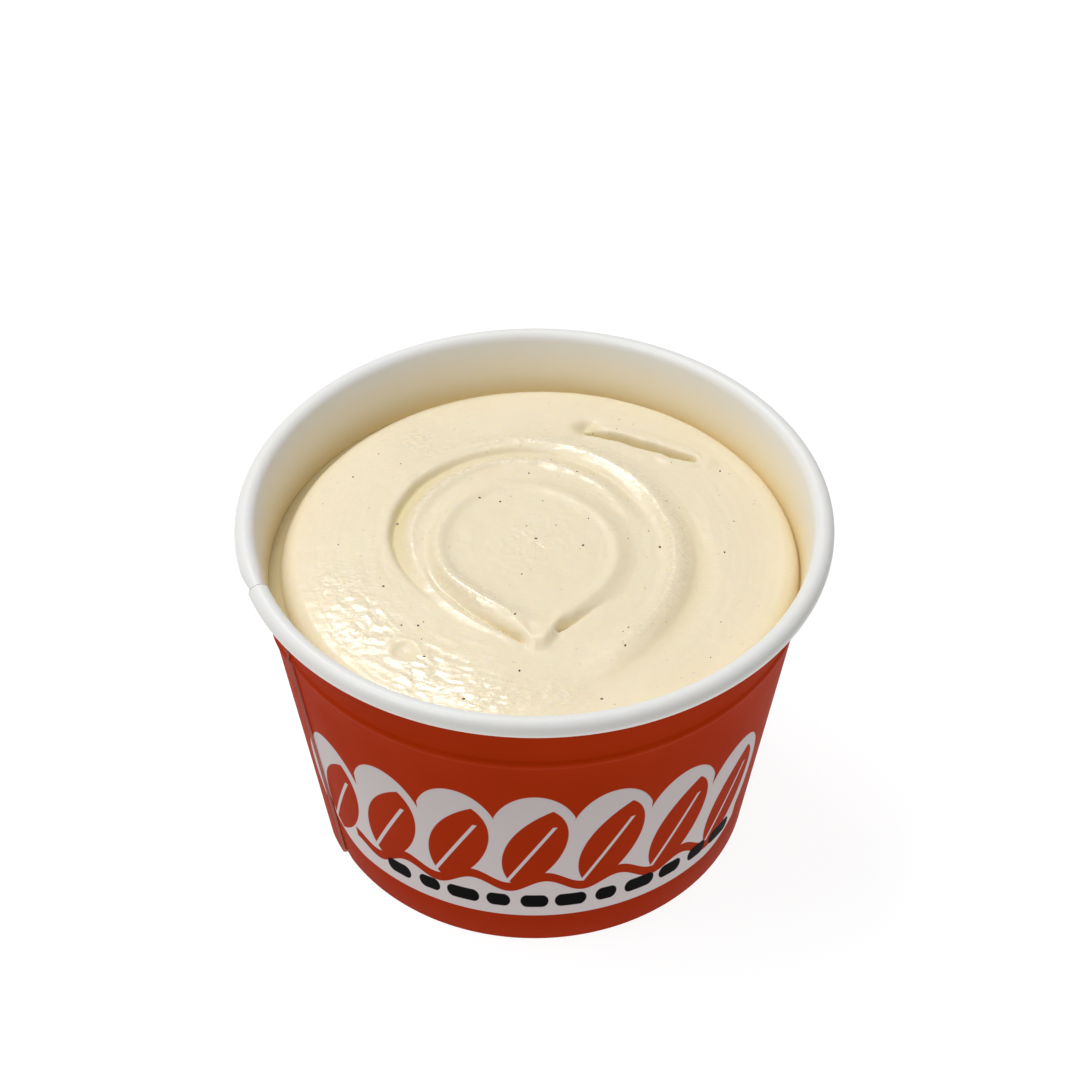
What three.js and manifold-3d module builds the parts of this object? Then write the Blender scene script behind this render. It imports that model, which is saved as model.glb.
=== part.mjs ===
// A paper cup of gelato: a rolled-brim sidewall, a recessed base disc and one serving of gelato.
// Millimetres, +Z up, origin on the cup's axis at the level of the table. The front is -Y.
import * as THREE from 'three';
import { mergeVertices } from 'three/addons/utils/BufferGeometryUtils.js';
import Module from 'manifold-3d';

const wasm = await Module();
wasm.setup();

// ---------------------------------------------------------------- driving dimensions
const RIM_RADIUS = 48;          // over the rolled brim
const CUP_HEIGHT = 63;          // table to the top of the brim
const BASE_RADIUS = 36.5;       // outside of the sidewall at the table
const ROLL_RADIUS = 1.63;       // outside of the brim's curl, in section
const PAPER = 0.5;              // sidewall board
const BASE_PAPER = 0.4;         // base disc board
const LAYER_GAP = 0.25;         // air between two layers of board
const HEM_TOP = 6;              // height of the sidewall's folded-in hem
const BASE_LEVEL = 7;           // underside of the base disc
const FOOT_ROUND = 0.5;         // outer corner of the foot
const BEAD_LEVEL = 50;          // stacking bead pressed out of the sidewall
const BEAD_WIDTH = 2.4;
const BEAD_HEIGHT = 0.3;
const FILL_LEVEL = 55.2;        // gelato at the centre
const EDGE_DROP = 1.1;          // how far the gelato's top falls to its shoulder
const SHOULDER = 3.2;           // rounding of the gelato's upper edge
const GELATO_CLEARANCE = 0.3;   // between the gelato and the board round it
const SHRINK_TOP = 51.5;        // above this level the gelato stands off the wall in full
const SHRINK_FOOT = 48;         // below this level it fills the cup
const STAND_OFF_LEAST = 0.15;   // air between the gelato's upper edge and the wall, at its narrowest
const STAND_OFF_MOST = 1.9;     // and at its widest, across the cup
const NARROWEST_BEARING = 5;    // where it is narrowest, in degrees from +X
const SEGMENTS = 64;            // columns round every turned piece

const rad = THREE.MathUtils.degToRad;
const smooth = THREE.MathUtils.smoothstep;
const lerp = THREE.MathUtils.lerp;

// ---------------------------------------------------------------- the sidewall's slope
// The cup's inner face runs straight up into the curl, so it touches the curl's circle.
const rollCentre = new THREE.Vector2(RIM_RADIUS - ROLL_RADIUS, CUP_HEIGHT - ROLL_RADIUS);

function slopeOfWall() {
  // Angle between the wall and the vertical at which the outer face leaves the foot at BASE_RADIUS
  // and runs tangent to the inside of the curl.
  const across = rollCentre.x - BASE_RADIUS;
  const reach = Math.hypot(across, rollCentre.y);
  return Math.atan2(across, rollCentre.y) - Math.asin((ROLL_RADIUS - PAPER) / reach);
}

const slope = slopeOfWall();
const outerFace = (z) => BASE_RADIUS + z * Math.tan(slope);
const innerFace = (z) => outerFace(z) - PAPER / Math.cos(slope);

// ---------------------------------------------------------------- helpers for sections
const point = (r, z) => new THREE.Vector2(r, z);

function arc(centre, radius, from, to, steps) {
  // Points on a circle from one angle to another, in degrees.
  return Array.from({ length: steps + 1 }, (_, i) => {
    const a = rad(lerp(from, to, i / steps));
    return point(centre.x + radius * Math.cos(a), centre.y + radius * Math.sin(a));
  });
}

function turned(section) {
  // Spins a section (radius, height) about +Z. Column 0 faces -Y.
  const shape = new THREE.LatheGeometry(section, SEGMENTS);
  shape.rotateX(Math.PI / 2);
  return shape;
}

function piece(name, geometry, color, roughness) {
  const material = new THREE.MeshStandardMaterial({ color, roughness, metalness: 0 });
  const mesh = new THREE.Mesh(geometry, material);
  mesh.name = name;
  return mesh;
}

// ---------------------------------------------------------------- sidewall with its brim and hem
const CURL_START = 180 - THREE.MathUtils.radToDeg(slope);   // where the wall runs into the curl
const CURL_END = -122;                                      // where the paper's cut edge stops
const POCKET = LAYER_GAP + BASE_PAPER + LAYER_GAP;          // room for the base's skirt
const HEM_INSET = PAPER + POCKET + PAPER;

function cupWallSection() {
  const bead = (z) => {
    const t = (z - BEAD_LEVEL) / (BEAD_WIDTH / 2);
    return Math.abs(t) < 1 ? BEAD_HEIGHT * (1 - t * t) : 0;
  };
  const beadLevels = [-1, -0.5, 0, 0.5, 1].map((t) => BEAD_LEVEL + t * BEAD_WIDTH / 2);
  const inset = (z, depth) => outerFace(z) - depth;
  const pocketOuter = PAPER;
  const pocketInner = PAPER + POCKET;
  return [
    // outer face, from the foot up to the curl
    ...arc(point(BASE_RADIUS - FOOT_ROUND, FOOT_ROUND), FOOT_ROUND, -90, 0, 3),
    ...beadLevels.map((z) => point(outerFace(z) + bead(z), z)),
    // inside of the curl, its cut edge, then back over the top of the brim
    ...arc(rollCentre, ROLL_RADIUS - PAPER, CURL_START, CURL_END, 7),
    ...arc(rollCentre, ROLL_RADIUS, CURL_END, CURL_START, 10),
    // the face the gelato touches, down to the pocket that holds the base's skirt
    ...beadLevels.reverse().map((z) => point(innerFace(z) + bead(z), z)),
    point(inset(HEM_TOP, pocketOuter), HEM_TOP),
    point(inset(PAPER, pocketOuter), PAPER),
    point(inset(PAPER, pocketInner), PAPER),
    // the hem turned up inside the foot
    point(inset(HEM_TOP, pocketInner), HEM_TOP),
    point(inset(HEM_TOP, HEM_INSET), HEM_TOP),
    ...arc(point(BASE_RADIUS - HEM_INSET + FOOT_ROUND, FOOT_ROUND), FOOT_ROUND, 180, 270, 2),
    point(BASE_RADIUS - FOOT_ROUND, 0),
  ];
}

// ---------------------------------------------------------------- base disc with its skirt
const BASE_BEND = 0.9;          // outer radius of the bend from disc to skirt

function cupBaseSection() {
  const skirtOuter = (z) => outerFace(z) - PAPER - LAYER_GAP;
  const skirtInner = (z) => skirtOuter(z) - BASE_PAPER;
  const top = BASE_LEVEL + BASE_PAPER;
  const skirtEnd = PAPER + LAYER_GAP;
  const bend = point(skirtOuter(top) - BASE_BEND, top - BASE_BEND);
  return [
    point(0, BASE_LEVEL),
    ...arc(bend, BASE_BEND - BASE_PAPER, 90, 0, 2),
    point(skirtInner(skirtEnd), skirtEnd),
    point(skirtOuter(skirtEnd), skirtEnd),
    ...arc(bend, BASE_BEND, 0, 90, 3),
    point(0, top),
  ];
}

// ---------------------------------------------------------------- gelato
// The top is one serving smoothed with a spatula in a spiral. Every stroke is a line round the cup,
// given at a few bearings (degrees from +X) as [bearing, radius, height]: grooves are below zero.
const STROKES = [
  {   // groove that opens the spiral on the left and runs round the back
    width: 1.5,
    line: [[206, 20.2, 0], [190, 22, -0.6], [165, 23.6, -1.2], [140, 24.4, -1], [115, 24.3, -0.6],
      [90, 23.3, -0.5], [65, 21.4, -0.5], [40, 19.9, -0.35], [20, 19.4, -0.15], [0, 19.3, 0]],
  },
  {   // ridge outside that groove, broadening on the right
    width: 1.9,
    line: [[135, 27.5, 0], [106, 26.5, 0.35], [89, 25.7, 0.45], [56, 23.6, 0.5], [21, 22.2, 0.65],
      [0, 22.4, 0.8], [-25, 23.6, 0.8], [-50, 25, 0.5], [-75, 28, 0]],
  },
  {   // ridge inside it
    width: 1.4,
    line: [[215, 19.5, 0], [185, 20.2, 0.4], [150, 21.4, 0.6], [105, 21.3, 0.45], [73, 19.3, 0.4],
      [39, 17.4, 0.3], [10, 17.4, 0]],
  },
  {   // step outside the broad ridge, running out to the front
    width: 1.8,
    line: [[45, 25.3, 0], [25, 25, -0.3], [2, 26, -0.7], [-20, 27, -0.8], [-44, 28.5, -0.6],
      [-60, 30.6, -0.3], [-76, 33, 0]],
  },
  {   // right side of the last dab, ending in a torn cusp
    width: 1.3,
    line: [[110, 15.6, 0], [70, 14.2, -0.2], [25, 14.2, -0.6], [-10, 15.1, -0.9], [-40, 16.5, -1],
      [-62, 17.3, -1.1], [-74, 18.7, -1.5], [-79, 19.7, -1.8], [-82, 20.2, 0]],
  },
  {   // left side of the last dab
    width: 1.1,
    line: [[130, 17, 0], [160, 17.6, -0.3], [185, 18, -0.4], [205, 18, -0.9], [230, 17.9, -1.3],
      [248, 19, -1.5], [258, 20.5, -1.7], [264, 21.9, -2], [268, 22.6, 0]],
  },
];
const DAB_HEIGHT = 0.6;         // the last dab stands this far above the ring round it
const DAB_RADIUS = 15.5;
const DAB_SLOPE = 2;            // half the width of the dab's sloping edge
// The slit that a flat spoon has left: its middle on the surface, its run as a bearing, and its lean.
const SLIT = {
  centre: [18.1, 25.4], bearing: -24, length: 20.5, width: 1.8, depth: 5, lean: 24, lip: 0.35,
};

function strokeHeight(stroke, bearing, radius) {
  // The bearing is taken on whichever turn falls inside the stroke.
  const line = stroke.line;
  const low = Math.min(line[0][0], line[line.length - 1][0]);
  const turn = bearing + 360 * Math.ceil((low - bearing) / 360);
  for (let i = 1; i < line.length; i += 1) {
    const [b0, r0, h0] = line[i - 1];
    const [b1, r1, h1] = line[i];
    const t = (turn - b0) / (b1 - b0);
    if (t >= 0 && t <= 1) {
      const off = (radius - lerp(r0, r1, t)) / stroke.width;
      return lerp(h0, h1, t) * Math.exp(-off * off);
    }
  }
  return 0;
}

function lipHeight(x, y) {
  // The gelato pushed up along both sides of the slit.
  const turn = rad(SLIT.bearing);
  const dx = x - SLIT.centre[0];
  const dy = y - SLIT.centre[1];
  const along = Math.abs(dx * Math.cos(turn) + dy * Math.sin(turn));
  const across = dy * Math.cos(turn) - dx * Math.sin(turn);
  const beyond = Math.max(along - SLIT.length / 2, 0);
  const off = (Math.hypot(beyond, across) - SLIT.width) / SLIT.width;
  return SLIT.lip * Math.exp(-off * off);
}

function relief(x, y) {
  const radius = Math.hypot(x, y);
  const bearing = THREE.MathUtils.radToDeg(Math.atan2(y, x));
  const dab = DAB_HEIGHT * (1 - smooth(radius, DAB_RADIUS - DAB_SLOPE, DAB_RADIUS + DAB_SLOPE));
  return STROKES.reduce((sum, stroke) => sum + strokeHeight(stroke, bearing, radius),
    dab + lipHeight(x, y));
}

function standOff(bearing) {
  // Air between the gelato's upper edge and the wall at a bearing.
  const across = 0.5 - 0.5 * Math.cos(rad(bearing - NARROWEST_BEARING));
  return lerp(STAND_OFF_LEAST, STAND_OFF_MOST, across);
}

const TOP_RINGS = [3.5, 7, 10, ...Array.from({ length: 22 }, (_, i) => 11.5 + 1.1 * i), 36.5, 38.2];
const SIDE_LEVELS = [SHRINK_FOOT, 28];
const TOE = 1;                  // chamfer where the gelato's side meets its floor
const SHOULDER_ZONE = [0.6 * RIM_RADIUS, 0.88 * RIM_RADIUS];   // radii over which the edge draws in
const RELIEF_RISE = 3;          // the strokes fade in over this height above SHRINK_TOP

function gelatoSection() {
  const floor = BASE_LEVEL + BASE_PAPER + GELATO_CLEARANCE;
  const side = (z) => innerFace(z) - GELATO_CLEARANCE;
  const edge = side(SHRINK_TOP);
  const dome = (r) => FILL_LEVEL - EDGE_DROP * (r / edge) ** 4;
  const shoulder = point(edge - SHOULDER, dome(edge - SHOULDER) - SHOULDER);
  return [
    point(0, floor),
    point(side(floor + TOE) - TOE, floor),
    point(side(floor + TOE), floor + TOE),
    ...SIDE_LEVELS.slice().reverse().map((z) => point(side(z), z)),
    ...arc(shoulder, SHOULDER, 0, 75, 4),
    ...TOP_RINGS.slice().reverse().map((r) => point(r, dome(r))),
    point(0, FILL_LEVEL),
  ];
}

function gelatoShape() {
  const shape = turned(gelatoSection());
  const at = shape.getAttribute('position');
  for (let i = 0; i < at.count; i += 1) {
    const [x, y, z] = [at.getX(i), at.getY(i), at.getZ(i)];
    const radius = Math.hypot(x, y);
    const bearing = THREE.MathUtils.radToDeg(Math.atan2(y, x));
    const nearEdge = smooth(radius, ...SHOULDER_ZONE);
    const shrink = standOff(bearing) * smooth(z, SHRINK_FOOT, SHRINK_TOP) * nearEdge;
    const scale = radius > 0 ? (radius - shrink) / radius : 1;
    const onTop = smooth(z, SHRINK_TOP, SHRINK_TOP + RELIEF_RISE);
    at.setXYZ(i, x * scale, y * scale, z + onTop * relief(x * scale, y * scale));
  }
  return shape;
}

// ---------------------------------------------------------------- the slit, cut out of the gelato
function solidOf(geometry) {
  // A geometry as one closed solid: shared corners merged, empty triangles at the axis left out.
  geometry.deleteAttribute('normal');
  geometry.deleteAttribute('uv');
  const merged = mergeVertices(geometry, 1e-4);
  const corners = Array.from(merged.getIndex().array);
  const kept = [];
  for (let i = 0; i < corners.length; i += 3) {
    const [a, b, c] = corners.slice(i, i + 3);
    if (a !== b && b !== c && c !== a) {
      kept.push(a, b, c);
    }
  }
  return new wasm.Manifold(new wasm.Mesh({
    numProp: 3,
    vertProperties: new Float32Array(merged.getAttribute('position').array),
    triVerts: new Uint32Array(kept),
  }));
}

function geometryOf(solid) {
  const mesh = solid.getMesh();
  const geometry = new THREE.BufferGeometry();
  geometry.setAttribute('position', new THREE.BufferAttribute(mesh.vertProperties, 3));
  geometry.setIndex(new THREE.BufferAttribute(mesh.triVerts, 1));
  geometry.computeVertexNormals();
  return geometry;
}

function slitShape() {
  // A flat slot with round ends, leaning back as the spoon did.
  const half = SLIT.length / 2 - SLIT.width / 2;
  const outline = new THREE.Shape();
  outline.absarc(half, 0, SLIT.width / 2, -Math.PI / 2, Math.PI / 2);
  outline.absarc(-half, 0, SLIT.width / 2, Math.PI / 2, 1.5 * Math.PI);
  const above = 4;              // how far the cutting shape stands clear of the surface
  const mouthDrop = 0.4;        // the surface lies this far under FILL_LEVEL at the slit
  const slot = new THREE.ExtrudeGeometry(outline, {
    depth: SLIT.depth + above, bevelEnabled: false, curveSegments: 5,
  });
  slot.translate(0, 0, -SLIT.depth);
  slot.rotateX(rad(-SLIT.lean));
  slot.rotateZ(rad(SLIT.bearing));
  slot.translate(SLIT.centre[0], SLIT.centre[1], FILL_LEVEL - mouthDrop);
  return slot;
}

const gelato = geometryOf(solidOf(gelatoShape()).subtract(solidOf(slitShape())));

// ---------------------------------------------------------------- the cup
const gelatoCup = new THREE.Group();
gelatoCup.add(piece('cup_wall', turned(cupWallSection()), 0xc24a12, 0.45));
gelatoCup.add(piece('cup_base', turned(cupBaseSection()), 0xe9e4dc, 0.6));
gelatoCup.add(piece('gelato', gelato, 0xf3e6cc, 0.35));

export default gelatoCup;
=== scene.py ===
# %% [markdown]
# # A paper cup of gelato
#
# This lesson builds the looks of a small paper cup filled with vanilla gelato. The cup's sizes come
# from a model that is already made and packed, the frame. The frame gives the rim, the height and
# the place of every part. Here the parts get their fine shape and their finish.

# %% Load the frame
import math
import random

import bmesh
import bpy
from mathutils import Matrix, Vector, noise


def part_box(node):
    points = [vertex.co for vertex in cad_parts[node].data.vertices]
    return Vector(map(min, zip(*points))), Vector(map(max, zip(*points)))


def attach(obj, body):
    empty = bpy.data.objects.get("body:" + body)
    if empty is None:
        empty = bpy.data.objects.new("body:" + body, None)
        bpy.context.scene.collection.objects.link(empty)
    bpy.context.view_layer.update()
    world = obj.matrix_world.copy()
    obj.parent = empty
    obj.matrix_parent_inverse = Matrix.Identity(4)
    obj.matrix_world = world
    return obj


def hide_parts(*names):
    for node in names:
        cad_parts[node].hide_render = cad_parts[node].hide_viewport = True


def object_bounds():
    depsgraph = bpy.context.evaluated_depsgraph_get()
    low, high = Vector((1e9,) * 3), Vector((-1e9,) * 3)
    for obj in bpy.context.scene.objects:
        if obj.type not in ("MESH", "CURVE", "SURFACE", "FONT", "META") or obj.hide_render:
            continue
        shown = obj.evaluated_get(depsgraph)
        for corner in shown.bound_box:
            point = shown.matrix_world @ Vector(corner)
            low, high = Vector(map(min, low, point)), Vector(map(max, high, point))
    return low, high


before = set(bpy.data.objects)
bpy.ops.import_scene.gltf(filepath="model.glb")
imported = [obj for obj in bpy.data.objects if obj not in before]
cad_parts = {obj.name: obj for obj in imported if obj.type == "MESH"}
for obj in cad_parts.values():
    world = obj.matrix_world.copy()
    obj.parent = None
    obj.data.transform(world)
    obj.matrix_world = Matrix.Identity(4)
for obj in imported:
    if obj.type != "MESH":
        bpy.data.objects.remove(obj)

MM = 0.001
cad_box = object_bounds()
rim_radius = (cad_box[1][0] - cad_box[0][0]) / 2 / MM
cup_height = cad_box[1][2] / MM
print("rim", round(rim_radius, 2), "mm radius, height", round(cup_height, 2), "mm")

# %% [markdown]
# ## Working in millimetres
#
# Sections are drawn in millimetres, as a cup maker draws them, and turned into metres at the very
# end. A few small helpers do most of the work: they give points on an arc, ease a value from 0 to 1,
# mix two values, and turn a finished bmesh into an object.

# %% Helpers for sections


def arc(centre, radius, start, end, steps):
    """Points (radius, height) on a circle, from one angle to another in degrees."""
    angles = [math.radians(start + (end - start) * i / steps) for i in range(steps + 1)]
    return [(centre[0] + radius * math.cos(a), centre[1] + radius * math.sin(a)) for a in angles]


def ease(value, low, high):
    """0 below low, 1 above high, and smooth between them."""
    t = min(max((value - low) / (high - low), 0.0), 1.0)
    return t * t * (3 - 2 * t)


def mix(a, b, t):
    return a + (b - a) * t


def finished(bm, name, materials):
    """Makes the object from a bmesh drawn in millimetres, smooth shaded, at the origin."""
    bmesh.ops.scale(bm, vec=(MM, MM, MM), verts=bm.verts)
    mesh = bpy.data.meshes.new(name)
    for face in bm.faces:
        face.smooth = True
    bm.to_mesh(mesh)
    bm.free()
    piece = bpy.data.objects.new(name, mesh)
    bpy.context.scene.collection.objects.link(piece)
    for material in materials:
        mesh.materials.append(material)
    print(name, len(mesh.vertices), "vertices")
    return piece

# %% [markdown]
# ## Shader maths as expressions
#
# A pattern is a sum of simple masks. Written as nodes it is hard to read, so a small class wraps a
# socket: adding or multiplying two wrapped sockets adds the Math node that does it. Every other node
# comes from the one method `node`.

# %% A socket that takes part in sums


class Wire:
    """An output socket that can be used in a Python expression."""

    def __init__(self, tree, socket=None):
        self.tree = tree
        self.socket = socket

    def node(self, kind, settings=None, inputs=None, output=0):
        """Any node: its settings are set first, then its sockets get values or links."""
        made = self.tree.nodes.new("ShaderNode" + kind)
        for key, value in (settings or {}).items():
            setattr(made, key, value)
        for key, value in (inputs or {}).items():
            if isinstance(value, Wire):
                self.tree.links.new(value.socket, made.inputs[key])
            else:
                made.inputs[key].default_value = value
        return Wire(self.tree, made.outputs[output])

    def math(self, operation, *values):
        return self.node("Math", {"operation": operation}, dict(enumerate(values)))

    def __add__(self, other):
        return self.math("ADD", self, other)

    def __sub__(self, other):
        return self.math("SUBTRACT", self, other)

    def __rsub__(self, other):
        return self.math("SUBTRACT", other, self)

    def __mul__(self, other):
        return self.math("MULTIPLY", self, other)

    def __truediv__(self, other):
        return self.math("DIVIDE", self, other)

    __radd__ = __add__
    __rmul__ = __mul__

    def low(self, other):
        """The smaller of the two."""
        return self.math("MINIMUM", self, other)

    def high(self, other):
        """The larger of the two."""
        return self.math("MAXIMUM", self, other)

    def absolute(self):
        return self.math("ABSOLUTE", self)

    def root(self):
        return self.math("SQRT", self)

    def rounded(self):
        return self.math("ROUND", self)

    def eased(self, low, high):
        """0 below low, 1 above high, and smooth between them."""
        return self.node(
            "MapRange",
            {"interpolation_type": "SMOOTHSTEP"},
            {"Value": self, "From Min": low, "From Max": high},
        )

    def blend(self, first, second):
        """A colour: first where this mask is 0, second where it is 1."""
        pick = {0: self, 6: first, 7: second}   # sockets 6 and 7 and output 2 hold colours
        return self.node("Mix", {"data_type": "RGBA"}, pick, output=2)

    def parts(self):
        """The x, y and z of a vector."""
        split = self.node("SeparateXYZ", inputs={0: self}).socket.node
        return [Wire(self.tree, socket) for socket in split.outputs]


def new_material(name):
    """A material, its Principled shader, and a wire to start expressions from."""
    material = bpy.data.materials.new(name)
    material.use_nodes = True
    tree = material.node_tree
    shader = tree.nodes["Principled BSDF"]
    return material, shader, Wire(tree)


def feed(shader, **wires):
    """Links wires to the shader's sockets; base_color feeds Base Color, and so on."""
    for key, wire in wires.items():
        socket = shader.inputs[key.replace("_", " ").title()]
        wire.tree.links.new(wire.socket, socket)


def in_millimetres(start):
    """Where a point is on the piece, in millimetres."""
    coords = start.node("TexCoord", output=3)   # output 3 is Object
    return start.node("VectorMath", {"operation": "SCALE"}, {0: coords, "Scale": 1 / MM})


def grain(start, place, scale, detail=3.0, stretch=None):
    """Soft noise between 0 and 1. Scale is in bumps for each millimetre."""
    if stretch:
        place = start.node("Mapping", inputs={"Vector": place, "Scale": stretch})
    inputs = {"Vector": place, "Scale": scale, "Detail": detail}
    return start.node("TexNoise", inputs=inputs)


def bumped(start, height, distance_mm, strength=1.0, normal=None):
    """A normal that follows a pattern of heights, on top of another normal if one is given."""
    inputs = {"Height": height, "Distance": distance_mm * MM, "Strength": strength}
    if normal is not None:
        inputs["Normal"] = normal
    return start.node("Bump", inputs=inputs)

# %% [markdown]
# ## The printed face of the board
#
# The cup is printed in one flat orange, and leaves a pale field of bare board at the front and the
# back. Print is flat colour with crisp edges, so it is worked out as shapes: a scalloped field, a
# row of slanted leaves on a wavy stem, and a row of dark dashes below. The place on the board is an
# arc length round the cup and a height, both in millimetres. The shapes repeat in cells, and each
# cell stands a little lower than the one nearer the middle.

# %% Inks and shapes of the print

ORANGE = (0.49, 0.032, 0.0004)
ORANGE_DEEP = (0.33, 0.020, 0.0003)   # the orange is deeper towards the foot
PALE = (0.66, 0.59, 0.59)
DASH = (0.003, 0.0025, 0.0025)
PRINT_RADIUS = 40.0          # where an arc length round the cup is true
EDGE = 0.07                  # softness of a printed edge

CELL = 12.4                  # width of a scallop, and the step from leaf to leaf
SIDE_CELLS = 3               # cells on each side of the middle one
ARCH = 0.62                  # how fast the cells step down from the middle
SCALLOP_LEVEL = 29.0
SCALLOP_HALF = (CELL * 0.58, 12.5)
FIELD_FLOOR = 7.5            # lower edge of the pale field
FIELD_HALF = CELL * 3.4
FIELD_ROUND = 18.0           # below this height the field's ends are rounded off
LEAF_LEVEL = 26.6
LEAF_LEAN = 0.46             # radians the leaves lean over
LEAF_SIDE = 4.4              # a leaf is where two ovals cross, each moved aside by this much
LEAF_HALF = (8.6, 13.2)
VEIN_HALF = 0.3
VEIN_TOP = 33.0
STEM_LEVEL = 17.4
STEM_WAVE = 1.5
STEM_HALF = 1.25             # half the width of the stem
STEM_END = CELL * 2.8
DASH_LEVEL = 11.8
DASH_PITCH = 6.2
DASH_ROUND = 1.15            # how round and how fat the dashes are
DASHES = (1, 5.5)            # middle and half length of the row, in dashes
print("print of", 2 * SIDE_CELLS + 1, "scallops,", CELL, "mm wide each")

# %% Printed edges and ovals


def within(distance, size=1):
    """1 inside an edge where the distance is 0, 0 outside it. Size turns it into millimetres."""
    return 1 - (distance * size).eased(-EDGE, EDGE)


def oval(x, y, half, lean=0.0):
    """How far outside an oval a point is, in parts of the oval's own size."""
    c, s = math.cos(lean), math.sin(lean)
    u = (x * c + y * s) / half[0]
    v = (y * c - x * s) / half[1]
    return (u * u + v * v).root() - 1

# %% Field, leaves and dashes


def pale_field(along, height, across, rise):
    """Where the board is left pale: a row of scallops on a band with rounded ends."""
    wide = along.absolute()
    scallop = within(oval(across, rise - SCALLOP_LEVEL, SCALLOP_HALF), 7)
    band = within(rise - SCALLOP_LEVEL) * within(wide - FIELD_HALF)
    ends = within(oval((wide - CELL * 2.6).high(0), height - FIELD_ROUND, (12.8, 10.6)), 10)
    field = scallop.high(band) * within(FIELD_FLOOR - height)
    return field * ends.high(within(FIELD_ROUND - height))


def leaves_on_a_stem(along, height, across, rise):
    level = rise - LEAF_LEVEL
    left_side = oval(across + LEAF_SIDE, level, LEAF_HALF, -LEAF_LEAN)
    right_side = oval(across - LEAF_SIDE, level, LEAF_HALF, -LEAF_LEAN)
    leaf = within(left_side.high(right_side), 8)
    off_vein = (across * math.cos(LEAF_LEAN) - level * math.sin(LEAF_LEAN)).absolute()
    leaf = leaf * (1 - within(off_vein - VEIN_HALF) * within(rise - VEIN_TOP))
    wave = along.math("SINE", along * (math.tau / CELL) + 0.6) * STEM_WAVE
    arched = height + along * along * (ARCH / CELL**2)
    stem = within((arched - STEM_LEVEL - wave).absolute() - STEM_HALF)
    return leaf.high(stem * within(along.absolute() - STEM_END))


def dashes(along, height):
    """A row of dashes of uneven length."""
    number = (along / DASH_PITCH).rounded()
    half = along.math("SINE", number * 2.4) * 0.5 + 2.25
    x = ((along - number * DASH_PITCH).absolute() - half).high(-1) + 1
    y = height - DASH_LEVEL
    dash = within((x * x + y * y * 0.42).root() - DASH_ROUND)
    return dash * within((number - DASHES[0]).absolute() - DASHES[1])

# %% Printed board


def printed_board():
    material, shader, start = new_material("Printed board")
    place = in_millimetres(start)
    x, y, height = place.parts()
    bearing = start.math("ARCTAN2", x, 0 - y)
    along = start.math("WRAP", bearing, math.pi / 2, -math.pi / 2) * PRINT_RADIUS
    cell = (along / CELL).rounded().low(SIDE_CELLS).high(-SIDE_CELLS)
    across = along - cell * CELL
    rise = height + cell * cell * ARCH
    field = pale_field(along, height, across, rise)
    inked = leaves_on_a_stem(along, height, across, rise)
    dash = dashes(along, height)
    cloud = grain(start, place, 0.08, 4)
    fibre = grain(start, place, 3.0, 4)
    # The orange deepens towards the foot and in soft clouds.
    deeper_orange = cloud * 0.4 + (1 - height / 50).high(0) * 0.7
    orange = deeper_orange.blend((*ORANGE, 1), (*ORANGE_DEEP, 1))
    pale = (fibre * 0.3).blend((*PALE, 1), (*[c * 0.88 for c in PALE], 1))
    paint = (field * (1 - inked)).blend(orange, pale)
    paint = (dash * field).blend(paint, (*DASH, 1))
    rough = 0.42 + cloud * 0.12 + fibre * 0.06
    ripple = bumped(start, grain(start, place, 0.12, 2, (1, 1, 0.35)), 0.25)
    relief = bumped(start, fibre, 0.02, 0.5, ripple)
    feed(shader, base_color=paint, roughness=rough, normal=relief)
    shader.inputs["Specular IOR Level"].default_value = 0.012
    return material

# %% [markdown]
# ## The inside of the board and its cut edges
#
# Inside, the board is white under a thin glossy coating. The brim is rolled outwards, so the brim
# shows this inner face too. Where the board was cut, its fibres show.

# %% Coated and cut board

COATED = (0.89, 0.89, 0.88)
COATED_SHADE = (0.86, 0.86, 0.84)
PAINTED_BOUNCE = (0.95, 0.84, 0.59)    # painted warm light, reflected from the gelato onto the board above it
PAINTED_BOUNCE_FADE = (54.0, 64.0)     # heights over which the painted warm light fades out
PAINTED_GOLDEN_SHADE = (0.93, 0.75, 0.40)    # painted shade and warm bounced light, deeper in colour, on the board just above the gelato
GOLDEN_SHADE_FADE = (50.0, 56.5)
SEAM = 202.0                 # bearing of the seam across the brim, in degrees
SEAM_HALF = 0.09             # half the width of the dark line where the lapped board ends
SEAM_SOFT = 0.12
SEAM_TINT = (0.22, 0.17, 0.13)
BRIM_LEVEL = 58.5            # the seam's line shows on the brim, above this height
INK_FADE = (55.0, 58.0)      # heights over which the ink on a cut edge fades out


def seam_line(x, y, level):
    """The fine dark line across the brim, where the cut end of the board shows."""
    c, s = math.cos(math.radians(SEAM)), math.sin(math.radians(SEAM))
    aside = (y * c - x * s).absolute()
    line = 1 - aside.eased(SEAM_HALF, SEAM_HALF + SEAM_SOFT)
    this_side = (x * c + y * s).eased(0, 1)
    return line * this_side * level.eased(BRIM_LEVEL, BRIM_LEVEL + 0.5)


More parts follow.
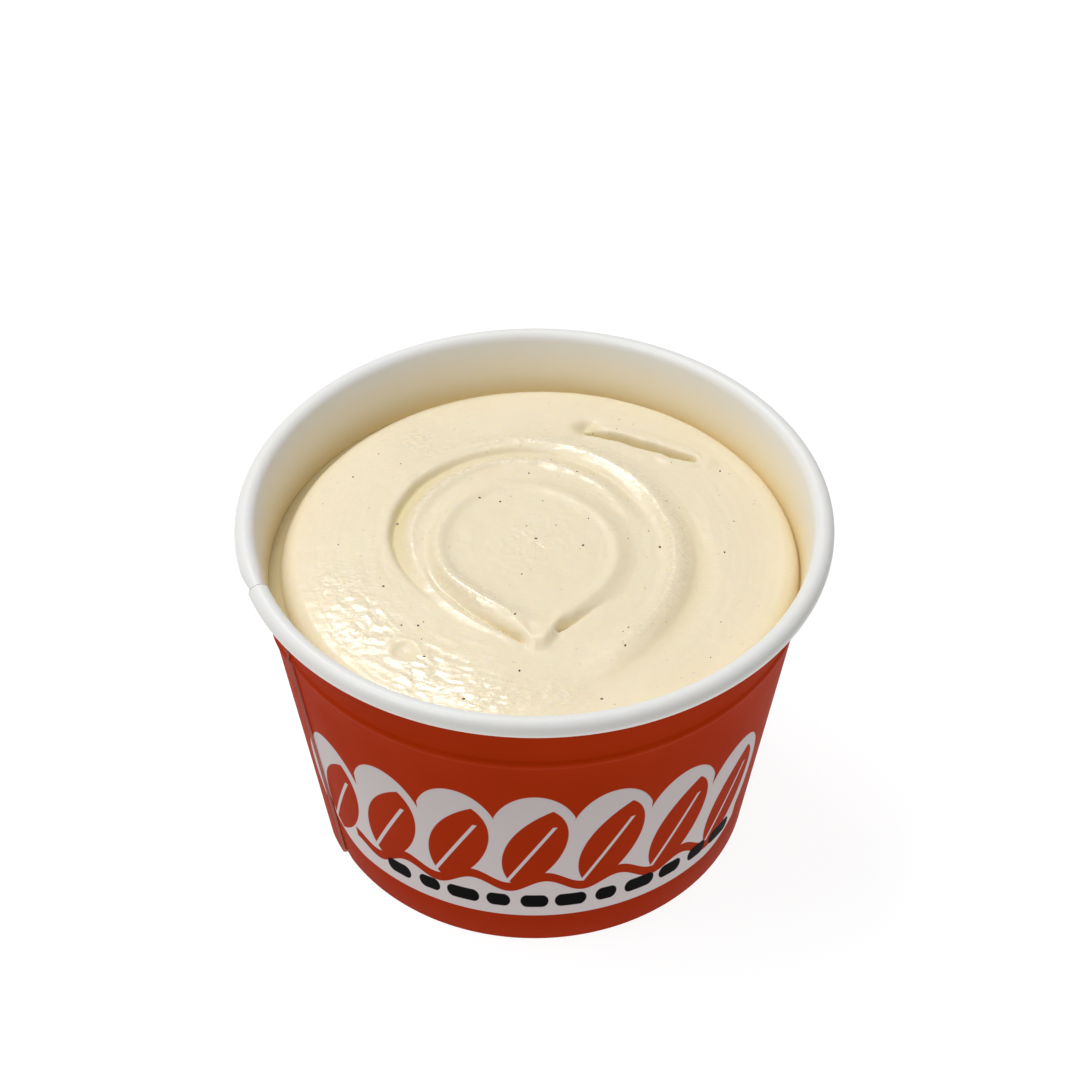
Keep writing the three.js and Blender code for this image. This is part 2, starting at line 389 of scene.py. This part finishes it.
def coated_board():
    material, shader, start = new_material("Coated board")
    place = in_millimetres(start)
    x, y, level = place.parts()
    fibre = grain(start, place, 2.2, 5)
    cloud = grain(start, place, 0.15, 3)
    # Painted light: the warm light that the gelato reflects onto the board above it.
    painted_bounce = (1 - level.eased(*PAINTED_BOUNCE_FADE)) * 0.85 + (cloud - 0.5) * 0.2
    # Painted shade and bounced light: a deeper golden band on the board just above the gelato.
    golden_shade = (1 - level.eased(*GOLDEN_SHADE_FADE)) * 0.85
    paint = (cloud * 0.6).blend((*COATED, 1), (*COATED_SHADE, 1))
    paint = painted_bounce.blend(paint, (*PAINTED_BOUNCE, 1))
    paint = golden_shade.blend(paint, (*PAINTED_GOLDEN_SHADE, 1))
    paint = (seam_line(x, y, level) * 0.75).blend(paint, (*SEAM_TINT, 1))
    rough = 0.34 + fibre * 0.14
    soft = bumped(start, cloud, 0.12)
    feed(shader, base_color=paint, roughness=rough, normal=bumped(start, fibre, 0.015, 0.6, soft))
    shader.inputs["Subsurface Weight"].default_value = 0.08
    shader.inputs["Subsurface Radius"].default_value = (0.0012, 0.001, 0.0008)
    return material


def bare_board(name, tint, ink=0.0):
    """Raw board. Ink is how much of the print has bled into its edge, below the brim."""
    material, shader, start = new_material(name)
    place = in_millimetres(start)
    fibre = grain(start, place, 4.0, 6)
    paint = fibre.blend((*tint, 1), (*[c * 0.86 for c in tint], 1))
    if ink:
        level = place.parts()[2]
        paint = ((1 - level.eased(*INK_FADE)) * ink).blend(paint, (*ORANGE, 1))
    rough = 0.68 + fibre * 0.2
    feed(shader, base_color=paint, roughness=rough, normal=bumped(start, fibre, 0.05, 0.7))
    return material

# %% [markdown]
# ## The sidewall: one blank of board, wound and rolled
#
# A real sidewall is one flat blank. It is wound into a cone with its ends lapped, its lower edge is
# folded in and up to grip the base, and its upper edge is rolled outwards into the brim. So the
# section here is a single line, the inner face of the board, and it is carried round by a little
# more than a full turn: the last few degrees pass outside the first ones and make the lap. The board
# then gets its thickness from a Solidify modifier, which also gives the outer face, the inner face
# and the cut edges a material each.

# %% The section of the sidewall

BASE_RADIUS = 36.5
ROLL_RADIUS = 1.63
BOARD = 0.5                  # thickness of the board
HEM_TOP = 6.0
POCKET = 0.9                 # room for the base's skirt between wall and hem
FOLD_ROUND = 0.12            # inner radius of the folds at the foot
CURL_END = -122              # where the brim's roll ends, in degrees
BEAD_LEVEL = 50.0
BEAD_WIDTH = 2.4
BEAD_HEIGHT = 0.3

roll_centre = (rim_radius - ROLL_RADIUS, cup_height - ROLL_RADIUS)
reach = math.hypot(roll_centre[0] - BASE_RADIUS, roll_centre[1])
slope = math.atan2(roll_centre[0] - BASE_RADIUS, roll_centre[1]) - math.asin(
    (ROLL_RADIUS - BOARD) / reach
)


def inner_face(z):
    """Radius of the cup's inner face at a height."""
    return BASE_RADIUS + z * math.tan(slope) - BOARD / math.cos(slope)


def bead(z):
    t = (z - BEAD_LEVEL) / (BEAD_WIDTH / 2)
    return BEAD_HEIGHT * (1 - t * t) ** 2 if abs(t) < 1 else 0.0


def sidewall_section():
    foot = inner_face(BOARD)
    hem = foot - POCKET
    lean = math.tan(slope)
    levels = [BOARD + FOLD_ROUND, 6, 14, 22, 30, 38, 45]
    levels += [BEAD_LEVEL + BEAD_WIDTH * (i / 12 - 0.5) for i in range(13)]
    levels += [53.5, 56, 58.5]
    curl_start = 180 - math.degrees(slope)
    return (
        [(hem + HEM_TOP * lean, HEM_TOP), (hem + 3 * lean, 3)]
        + arc((hem + FOLD_ROUND, BOARD + FOLD_ROUND), FOLD_ROUND, 180, 270, 4)
        + arc((foot - FOLD_ROUND, BOARD + FOLD_ROUND), FOLD_ROUND, 270, 360, 4)[:-1]
        + [(inner_face(z) + bead(z), z) for z in levels]
        + arc(roll_centre, ROLL_RADIUS, curl_start, CURL_END, 36)
    )


section = sidewall_section()
print("sidewall section of", len(section), "points, slope", round(math.degrees(slope), 2), "degrees")

# %% Lap and thickness of the board

LAP_START = SEAM             # the blank's inner end
LAP = 6.5                    # how far the outer end passes it
LAP_RISE = 7.0               # run over which the outer end climbs onto the inner one
LAYER = BOARD + 0.03         # from one layer of board to the next
SKIVE_RUN = 4.0              # run over which the inner end is thinned at the foot, past the lap
FOOT_ZONE = (1, 5)           # heights over which that thinning fades out
SWAY = 0.06                  # how far the wall wavers from a true cone
COLUMNS = 300
EDGE_ROUND = 0.06            # how far the cut edges are softened


def board_normals(points):
    """The direction out of the cup at every point of the section, square to the board."""
    normals = []
    for i in range(len(points)):
        before, after = points[max(i - 1, 0)], points[min(i + 1, len(points) - 1)]
        run = Vector((after[0] - before[0], after[1] - before[1])).normalized()
        normals.append(Vector((run.y, -run.x)))
    return normals


def give_thickness(piece):
    """The board's thickness, with a material for each face and for the cut edges, softened."""
    thick = piece.modifiers.new("Board thickness", "SOLIDIFY")
    thick.thickness = BOARD * MM
    thick.offset = 1
    thick.use_even_offset = True
    thick.material_offset = 1
    thick.material_offset_rim = 2
    edge = piece.modifiers.new("Softened cut edges", "BEVEL")
    edge.width = EDGE_ROUND * MM
    edge.segments = 2
    edge.limit_method = "ANGLE"
    edge.angle_limit = math.radians(55)
    edge.harden_normals = True

# %% Wind the blank round the cup


def wound_sidewall(materials):
    """Extrudes the section column by column; the last few columns climb onto the first ones."""
    bm = bmesh.new()
    normals = board_normals(section)
    column = [bm.verts.new((0, 0, 0)) for _ in section]
    edges = [bm.edges.new(pair) for pair in zip(column, column[1:])]
    turn = 360 + LAP
    for i in range(COLUMNS + 1):
        if i > 0:
            made = bmesh.ops.extrude_edge_only(bm, edges=edges)["geom"]
            fresh = [g for g in made if isinstance(g, bmesh.types.BMVert)]
            order = {v.co.to_tuple(5): v for v in fresh}
            column = [order[v.co.to_tuple(5)] for v in column]
            edges = [bm.edges.get(pair) for pair in zip(column, column[1:])]
        swept = turn * i / COLUMNS
        bearing = math.radians(LAP_START + swept)
        lift = LAYER * ease(swept, 360 - LAP_RISE, 360)
        skived = LAYER * (1 - ease(swept, LAP, LAP + SKIVE_RUN))
        for vert, (radius, height), normal in zip(column, section, normals):
            r = radius + lift * normal.x
            round_cup = Vector((math.cos(bearing) * 2.2, math.sin(bearing) * 2.2, height / 30))
            r += SWAY * noise.noise(round_cup) * ease(height, 4, 20)
            at_foot = 1 - ease(height, *FOOT_ZONE)
            z = height + mix(lift * normal.y, skived, at_foot)
            vert.co = (r * math.cos(bearing), r * math.sin(bearing), z)
    wall_face = max(bm.faces, key=lambda f: -abs(f.calc_center_median().z - 30))
    centre = wall_face.calc_center_median()
    wall_face.normal_update()
    if wall_face.normal.dot(Vector((centre.x, centre.y, 0))) < 0:
        bmesh.ops.reverse_faces(bm, faces=bm.faces)
    piece = finished(bm, "sidewall", materials)
    give_thickness(piece)
    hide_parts("cup_wall")
    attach(piece, "root")


cut_edge = bare_board("Cut board", (0.74, 0.68, 0.62), ink=0.75)
wound_sidewall([printed_board(), coated_board(), cut_edge])

# %% [markdown]
# ## The base disc
#
# The base is a plain stamped disc, and its shape in the frame is already right. It only needs its
# finish: bare white board with a little fibre.

# %% Finish the base

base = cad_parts["cup_base"]
base.data.materials.clear()
base.data.materials.append(bare_board("Base board", (0.80, 0.79, 0.76)))

# %% [markdown]
# ## The surface of the gelato
#
# The gelato was filled in and smoothed with a spatula, in a spiral that ends in a small dab pulled
# off at the front. Each stroke left a groove or a ridge. A stroke is given by the width of its inner
# and outer flank and a few places as (bearing in degrees, radius, height). The height at any point is
# the sum of the strokes, the dab, the slit where a spoon was pushed in, and fine unevenness.

# %% Strokes of the spatula

STROKES = [
    # groove that opens the spiral on the left and runs round the back, steep on its outer side
    (2.2, 0.6, [(222, 20, 0), (205, 20.8, -0.4), (190, 21.9, -0.9), (175, 23.1, -1.3),
                (160, 23.9, -1.5), (140, 24.7, -1.3), (115, 24.3, -0.7), (90, 23.4, -0.6),
                (65, 21.6, -0.55), (40, 20, -0.35), (15, 19.3, 0)]),
    # ridge outside that groove, broadening on the right
    (1.5, 2.4, [(150, 27.8, 0), (120, 27.2, 0.3), (106, 26.9, 0.45), (89, 26.1, 0.55),
                (56, 24, 0.6), (21, 22.5, 0.75), (0, 22.8, 0.85), (-25, 23.8, 0.8),
                (-50, 25.3, 0.5), (-75, 28, 0)]),
    # ridge inside it
    (1.3, 1.1, [(215, 19.5, 0), (185, 20, 0.3), (150, 21.3, 0.5), (105, 21.6, 0.5),
                (89, 21, 0.5), (73, 19.8, 0.45), (39, 17.8, 0.3), (10, 17.4, 0)]),
    # step outside the broad ridge, running out to the front
    (1.5, 2.6, [(45, 25.3, 0), (25, 25, -0.3), (2, 26, -0.7), (-20, 27, -0.8),
                (-44, 28.5, -0.6), (-60, 30.6, -0.35), (-80, 33.5, 0)]),
    # raised edge of the last dab on the left
    (1.7, 1.0, [(120, 15.4, 0), (158, 15.8, 0.25), (198, 16, 0.4), (212, 15.9, 0.5),
                (230, 15.5, 0.5), (246, 15.9, 0.45), (261, 16.9, 0.35), (274, 18.2, 0)]),
    # crease under that edge, down to the left cusp
    (0.5, 0.35, [(195, 18.2, 0), (212, 18, -0.2), (225, 17.9, -0.45), (246, 18.8, -0.9),
                 (257, 20.2, -1.4), (263.5, 21.5, -1.7), (267, 22.5, 0)]),
    # thin lip outside the crease
    (0.5, 0.8, [(190, 19, 0), (209, 19.1, 0.18), (225, 19.3, 0.25), (241, 19.9, 0.25),
                (257, 21.3, 0.15), (266, 22.8, 0)]),
    # crease on the right of the dab, down to the right cusp
    (0.45, 0.5, [(-45, 17.1, 0), (-58, 17.6, -0.25), (-66, 18.1, -0.7), (-73, 18.7, -1.2),
                 (-78, 19.5, -1.6), (-81, 20.3, 0)]),
]
DAB_HEIGHT = 0.75
DAB_RIM = (0.28, 1.7, 1.2)   # height, distance in from the edge and width of its raised rim
DAB_FLANK = (1.35, 0.65, 20) # half width of the dab's edge, how much it varies, and where it is widest
DAB_OUTLINE = [              # (bearing, radius) of the last dab, drawn out to a tip at the front
    (-90, 23.4), (-86, 23.2), (-82.5, 21.6), (-79, 19.8), (-75, 18.7), (-60, 17.2),
    (-41, 16.4), (-19, 15.6), (-1, 14.9), (25, 14.2), (47, 13.7), (62, 14.1), (81, 14.8),
    (95, 15.4), (111, 16.3), (125, 16.9), (150, 17.1), (200, 17), (225, 16.9), (246, 17.7),
    (259, 19.6), (265, 21.2), (267.5, 22.8), (270, 23.4),
]
TAIL = ((1.4, -19.5), (2.4, -24), 1.4, 0.25)   # from, to, width and height of the torn tail
print(len(STROKES), "strokes, and a dab of", len(DAB_OUTLINE), "points")

# %% The height of a stroke


def stroke_height(inside, outside, line, bearing, radius):
    """Height of one stroke. The bearing is taken on whichever turn falls inside the stroke."""
    low = min(line[0][0], line[-1][0])
    turn = bearing + 360 * math.ceil((low - bearing) / 360)
    for (b0, r0, h0), (b1, r1, h1) in zip(line, line[1:]):
        t = (turn - b0) / (b1 - b0)
        if 0 <= t <= 1:
            off = radius - mix(r0, r1, t)
            off /= inside if off < 0 else outside
            return mix(h0, h1, t) * math.exp(-off * off)
    return 0.0


def dab_height(bearing, radius):
    """The last dab: a flat top with a raised edge, steeper on the left."""
    turn = (bearing + 90) % 360 - 90
    width, spread, widest = DAB_FLANK
    flank = width + spread * math.cos(math.radians(turn - widest))
    height, inset, breadth = DAB_RIM
    for (b0, r0), (b1, r1) in zip(DAB_OUTLINE, DAB_OUTLINE[1:]):
        if b0 <= turn <= b1:
            edge = mix(r0, r1, (turn - b0) / (b1 - b0))
            rim = height * math.exp(-(((radius - edge + inset) / breadth) ** 2))
            return DAB_HEIGHT * (1 - ease(radius, edge - flank, edge + flank)) + rim
    return 0.0


def tail_height(x, y):
    """The thin tail between the two cusps, where the dab tore off."""
    (ax, ay), (bx, by), width, height = TAIL
    run = Vector((bx - ax, by - ay))
    offset = Vector((x - ax, y - ay))
    t = min(max(offset.dot(run) / run.length_squared, 0), 1)
    d = (offset - run * t).length / width
    return height * math.exp(-d * d) * (1 - 0.7 * t)

# %% The slit left by the spoon

SLIT_CENTRE = Vector((18.1, 25.4))
SLIT_BEARING = math.radians(-24)
SLIT_LENGTH = 20.5
SLIT_HALF = 0.8              # half the opening at the surface, at the middle
SLIT_DEPTH = 2.8
SLIT_LIP = 0.3
SLIT_WANDER = 0.5            # how far the slit strays from a straight line
POCKET = (Vector((8.9, 29.9)), -1.5, 1.8)    # hollow beside the slit's left end: place, height, size
PUCKER = (Vector((28.9, 21.2)), 0.5, 1.6)    # gelato pushed up at its right end


def mound(spot, place, height, size):
    """The height of a soft round mound or hollow."""
    return height * math.exp(-(((spot - place).length / size) ** 2))


def slit_height(x, y):
    """A soft slit that is nearly closed, with lips pushed up along both sides."""
    spot = Vector((x, y))
    offset = spot - SLIT_CENTRE
    run = Vector((math.cos(SLIT_BEARING), math.sin(SLIT_BEARING)))
    along = offset.dot(run)
    across = offset.cross(run) + SLIT_WANDER * noise.noise(Vector((along / 5, 0, 5)))
    beyond = max(abs(along) - SLIT_LENGTH / 2 + SLIT_HALF, 0.0)
    taper = 1 - 0.5 * (2 * along / SLIT_LENGTH) ** 4
    taper += 0.3 * noise.noise(Vector((along / 2.5, 4, 0)))
    d = math.hypot(beyond, across) / (SLIT_HALF * max(taper, 0.35))
    lip = SLIT_LIP * math.exp(-((d - 2.6) ** 2) * 0.5)
    ends = mound(spot, *POCKET) + mound(spot, *PUCKER)
    return lip + ends - SLIT_DEPTH * (1 - ease(d, 0.1, 1.5))

# %% Unevenness of the surface

ROUGH_PATCHES = [            # place, strength and size of the places where the crust tore
    (Vector((-27, -19)), 1.0, 6),
    (Vector((-17, -29)), 1.0, 6),
    (Vector((-7, -34)), 1.0, 5),
    (Vector((-31, -9)), 0.7, 6),
    (Vector((4, -34)), 0.6, 5),
    (Vector((-14, -9)), 0.6, 3.5),
    (Vector((-9, -13)), 0.6, 3),
    (Vector((-20, 27)), 0.6, 6),
    (Vector((0, 0)), 0.3, 5),
]
BUBBLE = Vector((-20.3, -23.8))
BUBBLE_RADIUS = 1.9
BUBBLE_DEPTH = 0.28
BUBBLE_RIM = 0.10
PIN_HOLE = 0.2
SWELL = 0.16                 # height of the broad swells
DRAG_MARKS = (0.04, 0.015)   # height of the coarse and the fine marks dragged round by the spatula
DIMPLES = 0.05
RAGGED = 0.10                # height of the torn crust


def torn(x, y):
    """How torn the crust is at a place."""
    return sum(mound(Vector((x, y)), *patch) for patch in ROUGH_PATCHES)


def bubble_height(x, y):
    """A burst bubble: a shallow dish with a faint rim and a pin hole."""
    d = (Vector((x, y)) - BUBBLE).length / BUBBLE_RADIUS
    dish = -BUBBLE_DEPTH * (1 - ease(d, 0.5, 1.05))
    rim = BUBBLE_RIM * math.exp(-(((d - 1.25) / 0.25) ** 2))
    return dish + rim - PIN_HOLE * (1 - ease(d, 0.05, 0.2))


def clear_of_bubble(x, y):
    return ease((Vector((x, y)) - BUBBLE).length, BUBBLE_RADIUS, BUBBLE_RADIUS * 1.5)


def unevenness(x, y):
    """Broad swells, drag marks that follow the spatula round, dimples and torn crust."""
    swell = SWELL * noise.noise(Vector((x, y, 0)) / 14)
    drag = Vector((math.hypot(x, y) * 1.1, math.atan2(y, x) * 4, 3))
    marks = DRAG_MARKS[0] * noise.noise(drag) + DRAG_MARKS[1] * noise.noise(drag * 2.7)
    dimples = DIMPLES * noise.noise(Vector((x / 2.3, y / 2.3, 2)))
    crust = noise.noise(Vector((x / 1.6, y / 1.2, 7)))
    crust += 0.7 * noise.noise(Vector((x / 0.8, y / 0.6, 9)))
    return swell + marks + dimples + RAGGED * torn(x, y) * crust * clear_of_bubble(x, y)

# %% The whole surface


def strokes_at(x, y):
    """The height of every stroke at a place."""
    radius = math.hypot(x, y)
    bearing = math.degrees(math.atan2(y, x))
    heights = [stroke_height(*stroke, bearing, radius) for stroke in STROKES]
    return heights + [dab_height(bearing, radius), tail_height(x, y)]


def relief(x, y, strokes):
    """How far the surface rises above the plain dome."""
    return sum(strokes) + slit_height(x, y) + bubble_height(x, y) + unevenness(x, y)

# %% [markdown]
# ## The gelato as one turned body
#
# The body starts as a section spun round the axis, closed at both poles. Every point of the top is
# then lifted by the surface's height. The upper edge stands off the wall, most on the left, because
# gelato shrinks from the board as it freezes hard. Lower down it fills the cup and follows its bead.

# %% The section of the gelato

FILL_LEVEL = 55.2            # height of the middle of the top, without its strokes
EDGE_DROP = 1.1              # how much lower the plain top is at the wall
SHOULDER = 3.2               # radius of the rounded upper edge
SHRINK_TOP = 51.5            # foot of the rounded edge
LEDGE = (50.9, 51.4)         # the gelato draws in from the wall between these heights
PRESS = 0.08                 # how far the gelato presses into the board's soft coating
STAND_OFF = (0.4, 2.1)       # least and most air between its upper edge and the wall
NARROWEST = 5                # bearing where that air is least
RING_STEP = 0.25             # from one ring of points on the top to the next
GELATO_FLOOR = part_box("gelato")[0].z / MM
GELATO_COLUMNS = 420

top_edge = inner_face(SHRINK_TOP) + PRESS


def dome(radius):
    return FILL_LEVEL - EDGE_DROP * (radius / top_edge) ** 4


def gelato_section():
    shoulder = (top_edge - SHOULDER, dome(top_edge - SHOULDER) - SHOULDER)
    floor = GELATO_FLOOR
    side = [floor + 1, 16, 24, 32, 40, 48.8, 49.4, 50, 50.5, LEDGE[0], 51, 51.08]
    rings = [shoulder[0] - RING_STEP * i for i in range(1, 160)]
    return (
        [(0, floor), (20, floor), (inner_face(floor) - 1.2, floor)]
        + [(inner_face(z) + bead(z) + PRESS, z) for z in side]
        + arc(shoulder, SHOULDER, 0, 88, 14)
        + [(r, dome(r)) for r in rings if r > 0.2]
        + [(0, FILL_LEVEL)]
    )


print("gelato section of", len(gelato_section()), "points, top edge", round(top_edge, 2), "mm")

# %% Shape the top

GAP_HOLLOW = 0.9             # how much painted shade the gap at the wall gets, as in a groove
GROOVE_FULL = 1.6            # depth at which a groove gets its full painted shade
WET_CREST = 1.3              # how wet a crest is, for each millimetre of its height
RELIEF_RISE = 3              # height over which the strokes come in above the shrunk edge
DRAWN_IN = (rim_radius * 0.6, rim_radius * 0.88)   # the shrinking fades out towards the middle


def stand_off(bearing):
    """Air between the gelato's upper edge and the wall."""
    return mix(*STAND_OFF, 0.5 - 0.5 * math.cos(math.radians(bearing - NARROWEST)))


def shaped(co):
    """Where a point of the plain turned body ends up, and how hollow and how wet it is there."""
    radius = max(math.hypot(co.x, co.y), 1e-6)
    bearing = math.degrees(math.atan2(co.y, co.x))
    scale = 1 - stand_off(bearing) * ease(co.z, *LEDGE) * ease(radius, *DRAWN_IN) / radius
    x, y = co.x * scale, co.y * scale
    if co.z < LEDGE[0]:
        return Vector((x, y, co.z)), GAP_HOLLOW, 0.0
    strokes = strokes_at(x, y)
    rise = ease(co.z, SHRINK_TOP, SHRINK_TOP + RELIEF_RISE)
    z = co.z + rise * relief(x, y, strokes)
    # The hollow attribute carries painted shade: a deeper colour in grooves and in the gap at the
    # wall.
    groove = -(sum(strokes) + slit_height(x, y)) / GROOVE_FULL
    gap = GAP_HOLLOW * (1 - ease(co.z, SHRINK_TOP - 1.5, SHRINK_TOP + 1.6))
    crests = sum(max(h, 0) for h in strokes[:len(STROKES)])
    wet = min(torn(x, y) + WET_CREST * crests, 1) * clear_of_bubble(x, y)
    return Vector((x, y, z)), min(max(groove, gap, 0.0), 1.0), wet

# %% Turn the gelato


def turned_gelato(material):
    """Spins the section, then shapes every point and marks how hollow and how wet it is."""
    bm = bmesh.new()
    points = [bm.verts.new((r, 0, z)) for r, z in gelato_section()]
    line = [bm.edges.new(pair) for pair in zip(points, points[1:])]
    bmesh.ops.spin(
        bm, geom=points + line, cent=(0, 0, 0), axis=(0, 0, 1), dvec=(0, 0, 0),
        angle=math.tau, steps=GELATO_COLUMNS, use_merge=True, use_duplicate=False,
    )
    bmesh.ops.remove_doubles(bm, verts=bm.verts, dist=1e-4)
    bmesh.ops.recalc_face_normals(bm, faces=bm.faces)
    hollow = bm.verts.layers.float.new("hollow")
    wet = bm.verts.layers.float.new("wet")
    for vert in bm.verts:
        vert.co, vert[hollow], vert[wet] = shaped(vert.co)
    piece = finished(bm, "gelato_serving", [material])
    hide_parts("gelato")
    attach(piece, "root")

# %% [markdown]
# ## The finish of the gelato
#
# Gelato is a dense cream that lets light in a little, so it gets subsurface scattering. Grooves and
# the gap at the wall are painted deeper in colour: painted shade, and painted light that bounces in
# them. Where the crust tore and along the crests it is wet: smoother, with a clear film that breaks
# up into small glints. The mesh carries how hollow and how wet each place is, so the finish reads
# two attributes.

# %% Gelato finish

CREAM = (0.94, 0.83, 0.62)
CREAM_DEEP = (0.91, 0.79, 0.56)
CREAM_HOLLOW = (0.76, 0.66, 0.37)   # painted shade and bounced light in grooves and the gap at the wall
FAINT_DUST = (0.45, 0.33, 0.20)     # vanilla dust just under the surface


def gelato_finish():
    material, shader, start = new_material("Vanilla gelato")
    place = in_millimetres(start)
    hollow = start.node("Attribute", {"attribute_name": "hollow"}, output=2)
    wet = start.node("Attribute", {"attribute_name": "wet"}, output=2)
    cloud = grain(start, place, 0.09, 3)
    fine = grain(start, place, 0.9, 4)
    sparkle = grain(start, place, 0.95, 5, (1, 1.5, 1))
    dust = start.node("TexVoronoi", inputs={"Vector": place, "Scale": 0.55})
    faint = (1 - dust.eased(0.05, 0.16)) * grain(start, place, 0.31, 0).eased(0.48, 0.62)
    cream = cloud.blend((*CREAM, 1), (*CREAM_DEEP, 1))
    # Painted shade and bounced light: grooves and the gap take on a deeper colour.
    cream = (hollow * 0.9).blend(cream, (*CREAM_HOLLOW, 1))
    paint = (faint * 0.30).blend(cream, (*FAINT_DUST, 1))
    wet_film = (wet * 1.3).low(1) * sparkle.eased(0.3, 0.55)
    rough = 0.38 + fine * 0.14 - wet_film * 0.27
    soft = bumped(start, grain(start, place, 0.6, 3), 0.10, 0.6)
    glints = bumped(start, sparkle * (wet * 0.8 + 0.2), 0.19, 1.0, soft)
    feed(shader, base_color=paint, roughness=rough, coat_weight=0.1 + wet_film * 0.9)
    feed(shader, normal=bumped(start, fine, 0.03, 0.5, glints))
    shader.inputs["Subsurface Weight"].default_value = 0.35
    shader.inputs["Subsurface Radius"].default_value = (0.0034, 0.0026, 0.0013)
    shader.inputs["Coat Roughness"].default_value = 0.14
    return material


turned_gelato(gelato_finish())

# %% [markdown]
# ## Vanilla specks
#
# Ground vanilla shows as tiny dark grains, scattered without order. Each is a small squashed ball,
# half sunk in the surface, and all of them are joined in one mesh.

# %% Scatter the specks

SPECKS = 60
SPECK_REACH = 38.5           # how far from the middle they lie
SPECK_SIZES = (0.07, 0.19)
SPECK_DARK = (0.030, 0.014, 0.006)
SPECK_BROWN = (0.10, 0.05, 0.02)
speck_dice = random.Random(11)


def speck_finish():
    material, shader, start = new_material("Vanilla grains")
    place = in_millimetres(start)
    tone = grain(start, place, 1.4, 2)
    paint = tone.blend((*SPECK_DARK, 1), (*SPECK_BROWN, 1))
    feed(shader, base_color=paint, roughness=0.45 + tone * 0.2)
    return material


def scattered_specks(material):
    """Squashed balls at random places on the top, each sunk to about half in the surface."""
    bm = bmesh.new()
    for _ in range(SPECKS):
        radius = SPECK_REACH * math.sqrt(speck_dice.random())
        angle = speck_dice.uniform(0, math.tau)
        x, y = radius * math.cos(angle), radius * math.sin(angle)
        size = mix(*SPECK_SIZES, speck_dice.random() ** 2)
        top, _, _ = shaped(Vector((x, y, dome(radius))))
        turn = Matrix.Rotation(speck_dice.uniform(0, math.tau), 4, "Z")
        shape = Matrix.Diagonal((size * speck_dice.uniform(1, 1.7), size, size * 0.6, 1))
        spot = Matrix.Translation(top - Vector((0, 0, size * 0.1))) @ turn @ shape
        bmesh.ops.create_icosphere(bm, subdivisions=2, radius=1, matrix=spot)
    piece = finished(bm, "vanilla_specks", [material])
    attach(piece, "root")


scattered_specks(speck_finish())

# %% [markdown]
# ## Floor, light and camera
#
# The cup stands on a plain pale floor in soft studio light: a large panel high on the left, a smaller
# one behind, and an even pale surround. The floor glows a little, like a lit table, so that it stays
# pale without throwing much light up at the cup. It is brightest round the cup and softly greyer
# further out. The camera looks down at the cup from the front through a long lens.

# %% Floor

FLOOR_HALF = 1500
FLOOR_BASE = (0.20, 0.20, 0.20, 1)
FLOOR_GLOW = 0.90
FAR_GLOW = (0.38, 0.38, 0.38, 1)     # tint of the glow far from the cup
POOL_HALF = (110, 140)               # half the size of the bright pool, across and along
POOL_MIDDLE = 97                     # how far behind the cup the pool's middle is
POOL_FADE = (25, 150)                # distances past the pool over which the glow falls off


def studio_floor():
    """A pale floor that is brightest round the cup and falls off softly."""
    bm = bmesh.new()
    bmesh.ops.create_grid(bm, x_segments=1, y_segments=1, size=FLOOR_HALF)
    material, shader, start = new_material("Floor")
    x, y, _ = in_millimetres(start).parts()
    aside = (x.absolute() - POOL_HALF[0]).high(0)
    ahead = ((y - POOL_MIDDLE).absolute() - POOL_HALF[1]).high(0)
    pool = 1 - (aside * aside + ahead * ahead).root().eased(*POOL_FADE)
    feed(shader, emission_color=pool.blend(FAR_GLOW, (1, 1, 1, 1)))
    shader.inputs["Base Color"].default_value = FLOOR_BASE
    shader.inputs["Roughness"].default_value = 0.8
    shader.inputs["Specular IOR Level"].default_value = 0
    shader.inputs["Emission Strength"].default_value = FLOOR_GLOW
    floor = finished(bm, "floor", [material])


studio_floor()

# %% Lights

LIT_POINT = Vector((0, 0, 0.05))     # what the panels are turned to, near the brim


def panel(name, place, size, power):
    light = bpy.data.lights.new(name, "AREA")
    light.shape = "DISK"
    light.size = size
    light.energy = power
    lamp = bpy.data.objects.new(name, light)
    lamp.location = place
    aim = LIT_POINT - Vector(place)
    lamp.rotation_euler = aim.to_track_quat("-Z", "Y").to_euler()
    bpy.context.scene.collection.objects.link(lamp)
    print(name, power, "W,", round(aim.length, 2), "m away")


panel("left panel", (-0.40, -0.11, 0.86), 0.42, 2.9)
panel("back panel", (-0.22, 0.44, 0.84), 0.30, 2.5)

world = bpy.data.worlds.new("Surround")
world.use_nodes = True
world.node_tree.nodes["Background"].inputs["Color"].default_value = (1, 1, 1, 1)
world.node_tree.nodes["Background"].inputs["Strength"].default_value = 0.38
bpy.context.scene.world = world
bpy.context.scene.view_settings.view_transform = "Standard"

# %% Camera

LOOK_DOWN = 42.495                   # degrees below level

camera = bpy.data.objects.new("camera", bpy.data.cameras.new("camera"))
camera.data.sensor_width = 36
camera.data.lens = 90.33
camera.data.shift_x = 0.0051
camera.location = (0, -0.3230, 0.3523)
camera.rotation_euler = (math.radians(90 - LOOK_DOWN), 0, 0)
bpy.context.scene.collection.objects.link(camera)
bpy.context.scene.camera = camera
print("camera looks down", LOOK_DOWN, "degrees through a", camera.data.lens, "mm lens")
